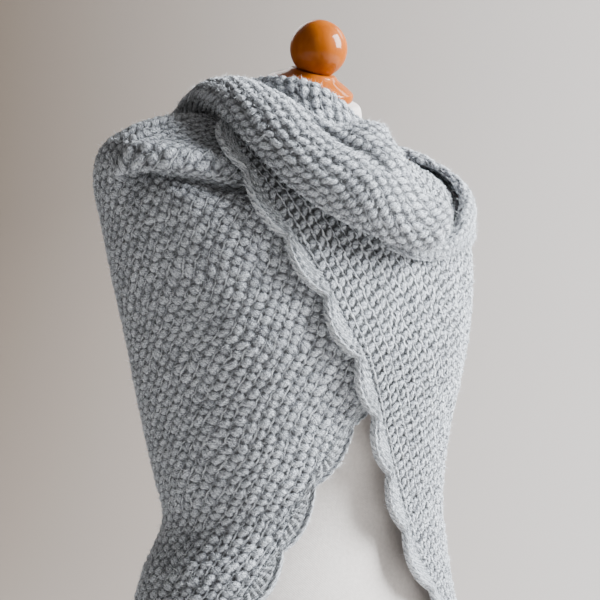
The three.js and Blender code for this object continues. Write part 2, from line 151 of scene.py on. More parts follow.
# A puff's reach along the row and across it, how far the next row is moved along, how high the
# winding strand and the slack one lie, and how uneven the hand was
CLOSE = (0.54, 0.48, 0.10, 0.60, 0.45, 1.0)
OPEN = (0.39, 0.45, 0.15, 0.88, 0.22, 0.60)
SOFT = (0.50, 0.49, 0.35, 0.42, 0.45, 1.0)


def spline(rows, along):
    rows = np.asarray(rows, float)
    last = len(rows) - 1
    place = np.clip(np.asarray(along, float), 0, 1) * last
    i = np.minimum(place.astype(int), last - 1)
    t = (place - i)[..., None]
    a, b = rows[i], rows[i + 1]
    slope_a = (b - rows[np.maximum(i - 1, 0)]) / 2
    slope_b = (rows[np.minimum(i + 2, last)] - a) / 2
    return ((2 * t**3 - 3 * t**2 + 1) * a + (t**3 - 2 * t**2 + t) * slope_a
            + (3 * t**2 - 2 * t**3) * b + (t**3 - t**2) * slope_b)


def smooth(x, low, high):
    t = np.clip((np.asarray(x, float) - low) / (high - low), 0, 1)
    return t * t * (3 - 2 * t)


def unit(v):
    return v / np.maximum(np.linalg.norm(v, axis=-1, keepdims=True), 1e-12)


# Sine, cosine and bulge of a squarish oval section at an even turn, in radians
def oval(even):
    angle = even - ARC_EVENING * np.sin(2 * even)
    s, c = np.sin(angle), np.cos(angle)
    return s, c, (np.abs(s)**SQUARENESS + np.abs(c)**SQUARENESS)**(-1 / SQUARENESS)


def cape(turn, ring):
    row = spline(CAPE, np.asarray(ring, float) / LAST_RING)
    right, left, front, back, z_right, z_left, z_front, z_back = np.moveaxis(row, -1, 0)
    s, c, bulge = oval(np.radians(turn))
    x = np.where(s < 0, right, left) * s * bulge
    y = -np.where(c > 0, front, back) * c * bulge
    z = np.where(s < 0, z_right, z_left) * s**2 + np.where(c > 0, z_front, z_back) * c**2
    return np.stack([x, y, z], -1)


def cape_normal(turn, ring):
    turn, ring = np.broadcast_arrays(np.asarray(turn, float), np.asarray(ring, float))
    around = cape(turn + 0.05, ring) - cape(turn - 0.05, ring)
    down = cape(turn, np.minimum(ring + 0.05, LAST_RING)) - cape(turn, np.maximum(ring - 0.05, 0))
    return unit(np.cross(down, around))


def off_cape(turn, ring, distance):
    return cape(turn, ring) + cape_normal(turn, ring) * np.asarray(distance, float)[..., None]


def left_share(turn):
    return smooth(turn, -60, 50)


def top_layer(turn):
    return LAYER * smooth(turn, -104, -84) * (1 - left_share(turn))


# The crease under the right shoulder: the ring where it lies at a turn, how much it rises for each
# degree, and how long a ring is there
CREASE_TURN, CREASE_RING, CREASE_SLOPE, RING_LENGTH = -65, 4.15, 0.043, 30


def below_crease(turn, ring):
    return (ring - CREASE_RING + CREASE_SLOPE * (turn - CREASE_TURN)) * RING_LENGTH


def crease(turn, ring):
    below = below_crease(turn, ring)
    ridge = 12 * np.exp(-(((below + 10) / 11)**2)) * (1 - smooth(turn, -62, -48))
    width = np.where(below < 5, 5.0, 16.0)
    trough = 17 * np.exp(-(((below - 5) / width)**2)) * (1 - smooth(turn, -46, -34))
    return smooth(turn, -92, -76) * (ridge - trough)


# How far the fold above the crease hangs down over it
def overhang(turn, ring):
    below = below_crease(turn, ring)
    return 14 * np.exp(-(((below + 5) / 8)**2)) * smooth(turn, -92, -78) * (1 - smooth(turn, -56, -42))


def right_offset(turn, ring):
    return crease(turn, ring) - LAYER * left_share(turn)


def left_offset(turn, ring):
    return LAYER * (1 - left_share(turn)) + 0 * ring


def right_half(across, ring):
    leg = spline(LEGS, ring / LAST_RING)[..., 0]
    turn = -180 + SPINE_TURN + (leg + 180 - SPINE_TURN) * across
    points = off_cape(turn, ring, right_offset(turn, ring))
    points[..., 2] -= overhang(turn, ring)
    return points, turn


def left_half(across, ring):
    leg = spline(LEGS, ring / LAST_RING)[..., 1]
    turn = 180 - SPINE_TURN + (leg - 180 + SPINE_TURN) * across
    return off_cape(turn, ring, left_offset(turn, ring)), turn


# Smooth unevenness between -1 and 1
UNEVEN = np.random.default_rng(11).uniform(-1, 1, (5, 64, 64))


def uneven(u, v, which):
    i, j = np.floor(u).astype(int), np.floor(v).astype(int)
    s, t = smooth(u - i, 0, 1), smooth(v - j, 0, 1)
    grid = UNEVEN[which]
    low = grid[i % 64, j % 64] * (1 - s) + grid[(i + 1) % 64, j % 64] * s
    high = grid[i % 64, (j + 1) % 64] * (1 - s) + grid[(i + 1) % 64, (j + 1) % 64] * s
    return low * (1 - t) + high * t


# Hand work: no two stitches in quite the same place
def by_hand(uv, hand, closed):
    u, v = uv[..., 0], uv[..., 1]
    shift = np.stack([0.22 * uneven(u * 0.83, v * 0.83, 0) + 0.45 * uneven(u * 0.19, v * 0.19, 1),
                      0.17 * uneven(u * 0.83, v * 0.83, 2) + 0.40 * uneven(u * 0.19, v * 0.19, 3)], -1) * hand
    if closed:
        shift *= (1 - np.abs(np.linspace(-1, 1, len(uv)))**8)[:, None, None]
    return uv + shift


# How high the crochet stands at a place in the cloth, in stitches along and rows up: puffs in
# offset rows, a strand winding along between the rows and a slack one beside each puff. The
# shader repeats it line by line.
def puffs(u, v, size, across, brick, lie, loose):
    row = np.floor(v)
    f = v - row - 0.5
    uo = u + brick * np.mod(row, 2)
    cell = np.floor(uo)
    e = uo - cell - 0.5
    chance = np.mod(np.abs(np.sin(cell * 1.73 + row * 2.97)) * 43.7, 1)
    slant = e + (0.1 + 0.4 * chance) * f
    cleft = 0.22 * np.exp(-((slant - 0.55 * f) / 0.10)**2)
    puff = np.sqrt(np.maximum(1 - (slant / size)**2 - (f / across)**2, 0)) * (0.82 + 0.24 * chance) - cleft
    line = np.round(v)
    winding = v - line - 0.04 * np.sin(2 * np.pi * u + 2.1 * line)
    strand = (lie + 0.20 * np.sin(1.9 * u + 2.1 * line)) * np.exp(-(winding / 0.12)**2)
    slack = loose * (np.exp(-((e - 0.5 * f - 0.47) / 0.09)**2) + np.exp(-((e - 0.5 * f + 0.53) / 0.09)**2))
    return np.maximum(np.maximum(puff, strand), slack)


def lengths(points, axis):
    step = np.linalg.norm(np.diff(points, axis=axis), axis=-1)
    start = np.zeros_like(np.take(step, [0], axis=axis))
    return np.concatenate([start, np.cumsum(step, axis=axis)], axis=axis)


def grid_normals(points, outward, closed=False):
    if closed:
        ring = np.concatenate([points[-2:-1], points, points[1:2]], 0)
        down = np.gradient(ring, axis=0)[1:-1]
    else:
        down = np.gradient(points, axis=0)
    normal = unit(np.cross(down, np.gradient(points, axis=1)))
    middle = (points.shape[0] // 2, points.shape[1] // 2)
    return normal if np.dot(normal[middle], outward[middle]) > 0 else -normal


def linked(name, mesh):
    piece = bpy.data.objects.new(name, mesh)
    bpy.context.scene.collection.objects.link(piece)
    return piece


def plain_mesh(name, vertices, faces, smoothed=True):
    mesh = bpy.data.meshes.new(name)
    mesh.from_pydata(vertices, [], faces)
    if smoothed:
        mesh.polygons.foreach_set("use_smooth", np.ones(len(faces), bool))
    mesh.update()
    return linked(name, mesh)


# A closed shell of cloth: the outer side in full detail, the inner side in fewer columns, and
# the loop of each row joined to the next. wraps joins the last row to the first.
def shell(name, outer, inner, uv_outer, uv_inner, wraps=False):
    rows, n = outer.shape[:2]
    m = inner.shape[1]
    loop = np.concatenate([outer, inner[:, ::-1]], 1)
    uv = np.concatenate([uv_outer, uv_inner[:, ::-1]], 1)
    count = n + m
    used = rows - 1 if wraps else rows
    i = np.arange(rows - 1)[:, None]
    j = np.arange(count)[None, :]
    nxt = (j + 1) % count
    low, high = (i % used) * count, ((i + 1) % used) * count
    quads = np.stack([low + j, high + j, high + nxt, low + nxt], -1).reshape(-1, 4)
    at, after = np.broadcast_arrays(i, i + 1 + 0 * j)
    left, right = np.broadcast_arrays(j, nxt + 0 * i)
    quad_rows = np.stack([at, after, after, at], -1).reshape(-1, 4)
    quad_cols = np.stack([left, left, right, right], -1).reshape(-1, 4)
    quad_uv = uv[quad_rows, quad_cols].reshape(-1, 2)
    caps = []
    if not wraps:
        for row, flip in ((0, False), (rows - 1, True)):
            a, b = 0, 0
            while a < n - 1 or b < m - 1:
                if b >= m - 1 or (a < n - 1 and (a + 1) / (n - 1) <= (b + 1) / (m - 1)):
                    tri = [a, a + 1, count - 1 - b]
                    a += 1
                else:
                    tri = [a, count - 2 - b, count - 1 - b]
                    b += 1
                caps.append((row, tri[::-1] if flip else tri))
    mesh = bpy.data.meshes.new(name)
    vertices = loop[:used].reshape(-1, 3) * MM
    tris = np.array([[row * count + k for k in tri] for row, tri in caps], int).reshape(-1, 3)
    tri_uv = np.array([uv[row, k] for row, tri in caps for k in tri]).reshape(-1, 2)
    mesh.vertices.add(len(vertices))
    mesh.vertices.foreach_set("co", vertices.ravel())
    total = len(quads) * 4 + len(tris) * 3
    mesh.loops.add(total)
    mesh.loops.foreach_set("vertex_index", np.concatenate([quads.ravel(), tris.ravel()]).astype(np.int32))
    mesh.polygons.add(len(quads) + len(tris))
    starts = np.concatenate([np.arange(len(quads)) * 4, len(quads) * 4 + np.arange(len(tris)) * 3])
    mesh.polygons.foreach_set("loop_start", starts.astype(np.int32))
    mesh.polygons.foreach_set("use_smooth", np.ones(len(quads) + len(tris), bool))
    layer = mesh.uv_layers.new(name="UVMap")
    layer.data.foreach_set("uv", np.concatenate([quad_uv, tri_uv]).astype(np.float32).ravel())
    mesh.update(calc_edges=True)
    mesh.validate()
    piece = linked(name, mesh)
    loops = np.concatenate([quads[:, [0, 1, 2]], quads[:, [0, 2, 3]], tris])
    a, b, c = vertices[loops[:, 0]], vertices[loops[:, 1]], vertices[loops[:, 2]]
    volume = np.einsum("ij,ij->i", a, np.cross(b, c)).sum()
    if volume < 0:
        mesh.flip_normals()
    return piece


# Lays the crochet on a grid of the cloth's outer points and closes it into a shell
def crochet(name, points, outward, uv, stitch, puff=PUFF, columns=8, closed=False, fade=None):
    normal = grid_normals(points, outward, closed)
    *form, hand = stitch
    uv = by_hand(uv, hand, closed)
    height = puffs(uv[..., 0], uv[..., 1], *form) * puff - SINK * puff / PUFF
    if fade is not None:
        height = height * fade
    outer = points + normal * height[..., None]
    keep = np.unique(np.linspace(0, points.shape[1] - 1, max(points.shape[1] // columns, 3)).astype(int))
    inner = (points - normal * WALL)[:, keep]
    return shell(name, outer, inner, uv, uv[:, keep], closed)


def stitch_uv(along, up, degrees):
    c, s = math.cos(math.radians(degrees)), math.sin(math.radians(degrees))
    return np.stack([(along * c + up * s) / STITCH, (-along * s + up * c) / ROW], -1)


# Distances along the cloth at every turn and ring: round the body from a middle turn, and up
# from the waist
NET_TURNS, NET_RINGS = 180, 380    # steps of the net
NET_TURN, NET_RING = np.meshgrid(np.linspace(-180, 180, NET_TURNS + 1),
                                 np.linspace(0, LAST_RING, NET_RINGS + 1), indexing="ij")
WAIST = 240                        # the net's step at the waist
NET_END = 0.001                    # stops a place short of the net's last line


def look_up(values, turn, ring):
    a = np.clip((turn + 180) / 2, 0, NET_TURNS - NET_END)
    b = np.clip(ring / LAST_RING * NET_RINGS, 0, NET_RINGS - NET_END)
    i, j = a.astype(int), b.astype(int)
    s, t = a - i, b - j
    return ((values[i, j] * (1 - t) + values[i, j + 1] * t) * (1 - s)
            + (values[i + 1, j] * (1 - t) + values[i + 1, j + 1] * t) * s)


def grid_uv(points, degrees, i, j):
    along, up = lengths(points, 0), lengths(points, 1)
    return stitch_uv(along - along[i:i + 1], up - up[:, j:j + 1], degrees)


def half_piece(name, surface, offset, rows, columns, degrees, stitch, middle):
    net = off_cape(NET_TURN, NET_RING, offset(NET_TURN, NET_RING))
    net_round, net_down = lengths(cape(NET_TURN, NET_RING), 0), lengths(net, 1)
    net_down = net_down - net_down[:, WAIST:WAIST + 1]
    # as many rows to each millimetre of the cloth's length
    sampled = np.linspace(FIRST_RING, LAST_RING, 400)
    path = lengths(cape(180.0 * np.ones(len(sampled)), sampled), 0)
    rings = np.interp(np.linspace(0, path[-1], rows), path, sampled)[:, None]
    across = np.linspace(0, 1, columns)[None, :]
    points, turn = surface(*np.broadcast_arrays(across, rings))
    outward = cape_normal(turn, rings + 0 * turn)
    ring = rings + 0 * turn
    along = look_up(net_round, turn, ring) - look_up(net_round, middle + 0 * turn, ring)
    uv = stitch_uv(along, -look_up(net_down, turn, ring), degrees)
    return crochet(name, points, outward, uv, stitch), points, outward


HALF_ROWS, HALF_COLUMNS = 340, 226
right_half_piece, right_grid, right_out = half_piece(
    "right_half_crochet", right_half, right_offset, HALF_ROWS, HALF_COLUMNS, 60, CLOSE, -45)
left_half_piece, left_grid, left_out = half_piece(
    "left_half_crochet", left_half, left_offset, HALF_ROWS, HALF_COLUMNS, -62, OPEN, 0)


def at_share(column, share):
    place = np.clip(share, 0, 1) * (len(column) - 1)
    i = np.minimum(place.astype(int), len(column) - 2)
    return column[i] + (column[i + 1] - column[i]) * (place - i)[:, None]


BORDER_COLUMNS = 20
BORDER_TUCK = 2.0    # how far the border starts inside the cloth's edge
BORDER_SINK = 2.4    # how far it lies below the cloth's outer side between stitches
CHAIN_PITCH = 9.5    # of the chain along its rim


# The scalloped border: a row of fans and a chain along its rim, as a strip with a rounded rim
def border(name, edge, before, outward, start, end, steps, turns_down):
    share = np.linspace(start, end, steps)
    root, back, up = at_share(edge, share), at_share(before, share), unit(at_share(outward, share))
    travelled = lengths(root, 0)
    # evenly spaced along the border
    share = np.interp(np.linspace(0, travelled[-1], steps), travelled, share)
    root, back, up = at_share(edge, share), at_share(before, share), unit(at_share(outward, share))
    travelled = lengths(root, 0)
    along = unit(at_share(edge, share + 0.012) - at_share(edge, share - 0.012))
    out = unit(root - back)
    out = unit(out - (out * along).sum(-1, keepdims=True) * along)
    if turns_down:
        # the two borders meet under the point
        t = smooth(share, 0.97, 1)[:, None]
        root = root + unit(back - root) * 4.4 * t
        out = unit(out * (1 - t) + np.array([0, 0, -1.0]) * t)
    up = unit(up - (up * out).sum(-1, keepdims=True) * out)
    reach = BORDER_WIDTH + SCALLOP_DEPTH * np.abs(np.sin(math.pi * travelled / SCALLOP_PITCH))**0.8
    w = np.linspace(0, 1, BORDER_COLUMNS)[None, :]
    distance = w * (reach[:, None] + BORDER_TUCK) - BORDER_TUCK
    flat = root[:, None] + out[:, None] * distance[..., None]
    # fans spread from the middle of each scallop's base
    local = (travelled / SCALLOP_PITCH - np.floor(travelled / SCALLOP_PITCH) - 0.5) * SCALLOP_PITCH
    angle = np.arctan2(local[:, None] * 0.9, distance + 16)
    fans = np.abs(np.cos(angle * 13 + 0.5 * np.sin(travelled[:, None] * 0.21)))**0.8
    rim = (reach[:, None] - distance - 3.6) / 2.6
    stitch = travelled[:, None] / CHAIN_PITCH
    beads = 0.5 + 0.5 * np.cos((stitch - 0.30 * rim) * 2 * math.pi)
    chain = np.exp(-rim**2) * (0.70 + 0.40 * beads)
    links = 0.62 + 0.3 * np.cos((stitch + 0.3 * rim + 0.5) * 2 * math.pi)
    second = np.exp(-((rim - 2.3) / 0.9)**2) * links
    fanned = smooth(distance, -2, 3) * (1 - smooth(distance, reach[:, None] - 9, reach[:, None] - 5))
    height = 3.4 * fans * fanned - BORDER_SINK
    height = np.maximum(height, 5.2 * chain - BORDER_SINK)
    height = np.maximum(height, 4.2 * second - BORDER_SINK)
    fall = np.clip((distance - reach[:, None] + 2.2) / 2.2, 0, 1)
    height = height * (1 - fall) - (WALL * 0.5) * fall**2
    outer = flat + up[:, None] * height[..., None]
    keep = np.array([0, 5, 10, 15, BORDER_COLUMNS - 1])
    inner_height = np.where(keep[None, :] == BORDER_COLUMNS - 1, -WALL * 0.72, -WALL + 0 * reach[:, None])
    inner = flat[:, keep] + up[:, None] * inner_height[..., None]
    uv = np.stack([travelled[:, None] / STITCH + 0 * distance, w + 0 * distance], -1)
    return shell(name, outer, inner, uv, uv[:, keep])


def half_border(name, grid, out):
    return border(name, grid[:, -1], grid[:, -6], out[:, -1], 0.055, 1, 660, True)


right_border = half_border("right_border_fans", right_grid, right_out)
left_border = half_border("left_border_fans", left_grid, left_out)


# The roll: an arch of cloth over its path, its edges curled under and its front end closed
def roll_piece():
    steps, sides = 250, 96
    row = spline(ROLL, np.linspace(0, 1, steps))
    turn, ring, base, low, high, height = row.T
    corners = 25.0
    lift = top_layer(turn) + base + WALL + height * math.sin(math.radians(corners))
    centre, up = off_cape(turn, ring, lift), cape_normal(turn, ring)
    share = np.linspace(0, 1, steps)
    closing = np.clip((share - 0.88) / 0.12, 0, 1)
    scale = np.sqrt(np.maximum(1 - closing**2, 0.0004))
    along = unit(np.gradient(centre, axis=0))
    outward = unit(up - (up * along).sum(-1, keepdims=True) * along)
    across = np.cross(outward, along)
    angle = np.radians(np.linspace(-corners - 22, 180 + corners + 22, sides))
    curl = 1 - 0.24 * np.maximum(np.abs(np.degrees(angle) - 90) - 90 - 12, 0) / 35
    c, s = np.cos(angle), np.sin(angle)
    reach = np.where(c[None, :] > 0, high[:, None], low[:, None]) * (c * curl)[None, :] * scale[:, None]
    rise = height[:, None] * s[None, :] * scale[:, None]
    points = centre[:, None] + across[:, None] * reach[..., None] + outward[:, None] * rise[..., None]
    out = unit(across[:, None] * (c[None, :, None]) + outward[:, None] * s[None, :, None])
    # the hump behind its crest and the valley between the two
    share, degrees = share[:, None], np.degrees(angle)[None, :]
    hump = 12 * np.exp(-(((share - 0.70) / 0.045)**2) - ((degrees - 42) / 26)**2)
    crest = np.interp(share, [0.56, 0.60, 0.63, 0.66, 0.70, 0.75], [74, 80, 84, 88, 96, 104])
    stretch = smooth(share, 0.52, 0.60) * (1 - smooth(share, 0.70, 0.76))
    valley = 8 * np.exp(-((degrees - crest) / 11)**2) * stretch
    points = points + out * (hump - valley)[..., None]
    uv = grid_uv(points, 14, steps * 6 // 10, sides // 2)
    fade = (0.15 + 0.85 * scale[:, None]) + 0 * reach
    return crochet("roll_crochet", points, out, uv, SOFT, 3.8, fade=fade, columns=4)


roll = roll_piece()


# The long edge standing round the neck
def neck_piece():
    around, over = 300, 44
    row = spline(NECK_EDGE, np.linspace(0, 1, around))
    turn, radius, rim, foot_ring = row.T
    angle = np.radians(turn)
    out = np.stack([np.sin(angle), -np.cos(angle), 0 * angle], -1)
    low = cape(turn, 0 * turn)[:, 2] - NECK_EDGE_INSIDE
    up = np.array([0, 0, 1.0])
    section = [out * (radius - 8)[:, None] + up * low[:, None],
               out * (radius - 8)[:, None] + up * ((low + rim) / 2)[:, None],
               out * radius[:, None] + up * rim[:, None],
               out * (radius + 7)[:, None] + up * (rim - 8)[:, None],
               off_cape(turn, NECK_EDGE_MIDDLE + 0 * turn, top_layer(turn) + 2 * WALL),
               off_cape(turn, foot_ring, top_layer(turn) + NECK_EDGE_BASE + WALL)]
    section = np.stack(section, 0)
    share = np.linspace(0, 1, over)
    points = np.moveaxis(spline(section.reshape(6, -1), share).reshape(over, around, 3), 0, 1)
    points[-1] = points[0]
    girth = 46 * STITCH
    p = (turn[:, None] + 180) / 360 * girth + 0 * points[..., 0]
    q = lengths(points, 1)
    q = q[:, 17:18] - q
    uv = stitch_uv(p, q, 90)
    outward = points - points.mean(1, keepdims=True) + out[:, None] * 4
    return crochet("neck_edge_crochet", points, outward, uv, SOFT, 3.2, columns=4, closed=True)


neck = neck_piece()


def tip_piece(name, table, steps, columns, degrees):
    row = spline(table, np.linspace(0, 1, steps))
    across = np.linspace(0, 1, columns)
    section = spline(RIM_SECTION, across)
    folded = np.minimum(row[:, 4:5] / RIM_FULL, 1)
    place = across[None, :] * (1 - folded) + section[None, :, 0] * folded
    turn = row[:, 0:1] + (row[:, 2:3] - row[:, 0:1]) * place
    ring = row[:, 1:2] + (row[:, 3:4] - row[:, 1:2]) * place
    points = off_cape(turn, ring, top_layer(turn) + TIP_BASE + WALL + row[:, 4:5] * section[None, :, 1])
    outward = cape_normal(turn, ring)
    uv = grid_uv(points, degrees, steps // 2, columns // 2)
    piece = crochet(name, points, outward, uv, SOFT, 3.2, columns=4)
    return piece, points, outward


right_tip, right_tip_grid, right_tip_out = tip_piece("right_tip_crochet", RIGHT_TIP, 130, 64, 102)
left_tip, left_tip_grid, left_tip_out = tip_piece("left_tip_crochet", LEFT_TIP, 300, 60, 8)


def tip_border(name, grid, out, start, steps):
    return border(name, grid[:, -1], grid[:, -5], out[:, -1], start, 0.98, steps, False)


right_tip_border = tip_border("right_tip_fans", right_tip_grid, right_tip_out, 0.02, 130)
left_tip_border = tip_border("left_tip_fans", left_tip_grid, left_tip_out, 0.38, 180)


# A chain of shader nodes written as sums
class Sum:
    def __init__(self, tree, socket):
        self.tree, self.socket = tree, socket

    def op(self, kind, *others, clamp=False):
        node = self.tree.nodes.new("ShaderNodeMath")
        node.operation = kind
        node.use_clamp = clamp
        for slot, value in zip(node.inputs, (self, *others)):
            if isinstance(value, Sum):
                self.tree.links.new(value.socket, slot)
            else:
                slot.default_value = value
        return Sum(self.tree, node.outputs[0])

    def __add__(self, other):
        return self.op("ADD", other)

    def __sub__(self, other):
        return self.op("SUBTRACT", other)

    def __mul__(self, other):
        return self.op("MULTIPLY", other)

    def sin(self):
        return self.op("SINE")

    def floor(self):
        return self.op("FLOOR")

    def squared(self):
        return self.op("POWER", 2.0)

    def bell(self, centre, width):
        return ((self - centre) * (1 / width)).squared().op("MULTIPLY", -1.0).op("EXPONENT")


def material(name, colour, roughness):
    made = bpy.data.materials.new(name)
    made.use_nodes = True
    shader = made.node_tree.nodes["Principled BSDF"]
    shader.inputs["Base Color"].default_value = (*colour, 1)
    shader.inputs["Roughness"].default_value = roughness
    return made, made.node_tree, shader


def noise(tree, vector, scale, detail=2.0):
    node = tree.nodes.new("ShaderNodeTexNoise")
    node.inputs["Scale"].default_value = scale
    node.inputs["Detail"].default_value = detail
    tree.links.new(vector, node.inputs["Vector"])
    return Sum(tree, node.outputs["Fac"])


def ramp(tree, factor, stops):
    node = tree.nodes.new("ShaderNodeValToRGB")
    elements = node.color_ramp.elements
    while len(elements) < len(stops):
        elements.new(0.5)
    for element, (place, colour) in zip(elements, stops):
        element.position = place
        element.color = (*colour, 1)
    tree.links.new(factor.socket, node.inputs["Fac"])
    return node.outputs["Color"]


def bump(tree, shader, height, distance, strength=1.0):
    node = tree.nodes.new("ShaderNodeBump")
    node.inputs["Distance"].default_value = distance
    node.inputs["Strength"].default_value = strength
    tree.links.new(height.socket, node.inputs["Height"])
    tree.links.new(node.outputs["Normal"], shader.inputs["Normal"])


# Heather yarn. The puffs repeat those of the mesh, so the shader sharpens their edges, darkens the gaps
# with painted shade and adds the plies and fuzz.
def yarn(name, stitch, painted_gap_shade):
    size, across, brick, lie, loose, _ = stitch
    made, tree, shader = material(name, (0.5, 0.53, 0.57), 0.92)
    shader.inputs["Sheen Weight"].default_value = 0.25
    shader.inputs["Sheen Roughness"].default_value = 0.6
    uv_map = tree.nodes.new("ShaderNodeUVMap")
    uv_map.uv_map = "UVMap"
    split = tree.nodes.new("ShaderNodeSeparateXYZ")
    tree.links.new(uv_map.outputs["UV"], split.inputs[0])
    u0, v0 = Sum(tree, split.outputs[0]), Sum(tree, split.outputs[1])
    fine = noise(tree, uv_map.outputs["UV"], 3.2, 2.0)
    u = u0 + (fine - 0.5) * 0.30
    v = v0 + (noise(tree, uv_map.outputs["UV"], 3.9, 2.0) - 0.5) * 0.26
    row = v.floor()
    f = v - row - 0.5
    uo = u + row.op("FLOORED_MODULO", 2.0) * brick
    cell = uo.floor()
    e = uo - cell - 0.5
    chance = ((cell * 1.73 + row * 2.97).sin().op("ABSOLUTE") * 43.7).op("FRACT")
    slant = e + (chance * 0.4 + 0.1) * f
    body = (slant * (1 / size)).squared() + (f * (1 / across)).squared()
    puff = body.op("MULTIPLY", -1.0).op("ADD", 1.0).op("MAXIMUM", 0.0).op("SQRT") * (chance * 0.24 + 0.82)
    line = v.op("ROUND")
    winding = v - line - (u * (2 * math.pi) + line * 2.1).sin() * 0.04
    strand = ((u * 1.9 + line * 2.1).sin() * 0.20 + lie) * winding.bell(0.0, 0.11)
    lean = e - f * 0.5
    slack = (lean.bell(0.47, 0.08) + lean.bell(-0.53, 0.08)) * loose
    cleft = (slant - f * 0.55).bell(0.0, 0.08) * 0.30
    high = (puff - cleft).op("MAXIMUM", strand).op("MAXIMUM", slack)
    plies = (e * 27.0 + f * 15.0 + fine * 11.0 + chance * 6.0).sin()
    fibres = noise(tree, uv_map.outputs["UV"], 13.0, 4.0)
    relief = high + plies * 0.17 + fibres * 0.80
    bump(tree, shader, relief, 0.0052)
    flecks = noise(tree, uv_map.outputs["UV"], 7.0, 4.0)
    patches = noise(tree, uv_map.outputs["UV"], 0.35, 2.0)
    # painted light: the winding strand is lightened as a painted highlight, and the plies add painted shade
    # between the plies and painted highlight along them; flecks, fibres, patches and chance are the heather's
    # own tone
    shade = ((flecks - 0.5) * 1.9 + (fibres - 0.5) * 1.5 + (patches - 0.5) * 0.35 + plies * 0.17
             + (chance - 0.5) * 0.08 + strand * 0.30 + 0.48)
    tint = ramp(tree, shade, [
        (0.05, (0.25, 0.26, 0.29)), (0.5, (0.70, 0.715, 0.77)), (0.86, (0.97, 0.975, 1.0))])
    # painted shade: the colour is multiplied darker the lower a place lies between the puffs, darkest in the
    # gaps
    painted_depth_shade = ramp(tree, high, [(0.12, (painted_gap_shade, painted_gap_shade, painted_gap_shade * 1.03)), (0.45, (0.36, 0.365, 0.38)), (0.80, (1, 1, 1))])
    mix = tree.nodes.new("ShaderNodeMix")
    mix.data_type = "RGBA"
    mix.blend_type = "MULTIPLY"
    mix.inputs[0].default_value = 1.0
    tree.links.new(tint, mix.inputs[6])
    tree.links.new(painted_depth_shade, mix.inputs[7])
    tree.links.new(mix.outputs[2], shader.inputs["Base Color"])
    return made


def border_yarn():
    made, tree, shader = material("border_yarn", (0.55, 0.575, 0.61), 0.92)
    shader.inputs["Sheen Weight"].default_value = 0.25
    shader.inputs["Sheen Roughness"].default_value = 0.6
    uv_map = tree.nodes.new("ShaderNodeUVMap")
    uv_map.uv_map = "UVMap"
    split = tree.nodes.new("ShaderNodeSeparateXYZ")
    tree.links.new(uv_map.outputs["UV"], split.inputs[0])
    u, v = Sum(tree, split.outputs[0]), Sum(tree, split.outputs[1])
    # strands lie aslant along the border
    join = tree.nodes.new("ShaderNodeCombineXYZ")
    tree.links.new((u * 0.55).socket, join.inputs[0])
    tree.links.new((v * 4.4 + u * 0.55).socket, join.inputs[1])
    fine = noise(tree, join.outputs[0], 5.0, 4.0)
    fibres = noise(tree, join.outputs[0], 15.0, 4.0)
    plies = (u * 7.0 + v * 50.0 + fine * 12.0).sin()
    bump(tree, shader, plies * 0.45 + fibres * 1.2, 0.0046)
    patches = noise(tree, uv_map.outputs["UV"], 1.1, 2.0)
    # painted light: a line of painted shade in the groove inside the rim chain, painted shade in the slots at
    # the border's root, a painted highlight along the rim's outer side, and plies that add painted shade
    # between them; fine, fibres and patches are the yarn's own tone
    painted_groove_shade = v.bell(0.74, 0.035)
    painted_slot_shade = ((u * 5.2 + fine * 3.0).sin() * 0.5 + 0.5) * v.bell(0.13, 0.08)
    shade = ((fine - 0.5) * 2.4 + (fibres - 0.5) * 2.4 + (patches - 0.5) * 0.4 + plies * 0.30
             - painted_groove_shade * 0.60 - painted_slot_shade * 0.9 + v.bell(0.86, 0.06) * 0.15 + 0.50)
    tint = ramp(tree, shade, [
        (0.0, (0.14, 0.15, 0.17)), (0.5, (0.68, 0.695, 0.745)), (0.88, (0.97, 0.975, 1.0))])
    tree.links.new(tint, shader.inputs["Base Color"])
    return made


def linen():
    made, tree, shader = material("linen_weave", (0.70, 0.66, 0.63), 0.85)
    place = tree.nodes.new("ShaderNodeTexCoord")
    split = tree.nodes.new("ShaderNodeSeparateXYZ")
    tree.links.new(place.outputs["Object"], split.inputs[0])
    x, y, z = (Sum(tree, split.outputs[i]) for i in range(3))
    warp = ((x - y * 0.6) * 3600.0).sin()
    weft = (z * 3600.0).sin()
    slub = noise(tree, place.outputs["Object"], 260.0, 3.0)
    bump(tree, shader, warp * weft * 0.5 + slub * 0.8, 0.0004)
    patches = noise(tree, place.outputs["Object"], 9.0, 3.0)
    tint = ramp(tree, slub * 0.6 + patches * 0.4, [(0.3, (0.47, 0.415, 0.38)), (0.7, (0.58, 0.52, 0.48))])
    tree.links.new(tint, shader.inputs["Base Color"])
    return made


def varnished_wood():
    made, tree, shader = material("varnished_wood", (0.45, 0.14, 0.02), 0.5)
    shader.inputs["Specular IOR Level"].default_value = 0.04
    shader.inputs["Coat Weight"].default_value = 0.3
    shader.inputs["Coat Roughness"].default_value = 0.03
    place = tree.nodes.new("ShaderNodeTexCoord")
    stretch = tree.nodes.new("ShaderNodeMapping")
    stretch.inputs["Scale"].default_value = (1.0, 1.0, 0.12)
    tree.links.new(place.outputs["Object"], stretch.inputs["Vector"])
    grain = noise(tree, stretch.outputs["Vector"], 90.0, 4.0)
    broad = noise(tree, stretch.outputs["Vector"], 16.0, 2.0)
    tint = ramp(tree, grain * 0.5 + broad * 0.5, [
        (0.25, (0.16, 0.030, 0.0005)), (0.55, (0.29, 0.066, 0.001)), (0.8, (0.37, 0.104, 0.0016))])
    tree.links.new(tint, shader.inputs["Base Color"])
    bump(tree, shader, grain, 0.0002)
    return made


# the last number of each is the painted shade in its gaps
under_yarn = yarn("under_half_yarn", CLOSE, 0.13)
over_yarn = yarn("over_half_yarn", OPEN, 0.03)
roll_yarn = yarn("roll_yarn", SOFT, 0.12)
edge_yarn = border_yarn()
cover = linen()
wood = varnished_wood()

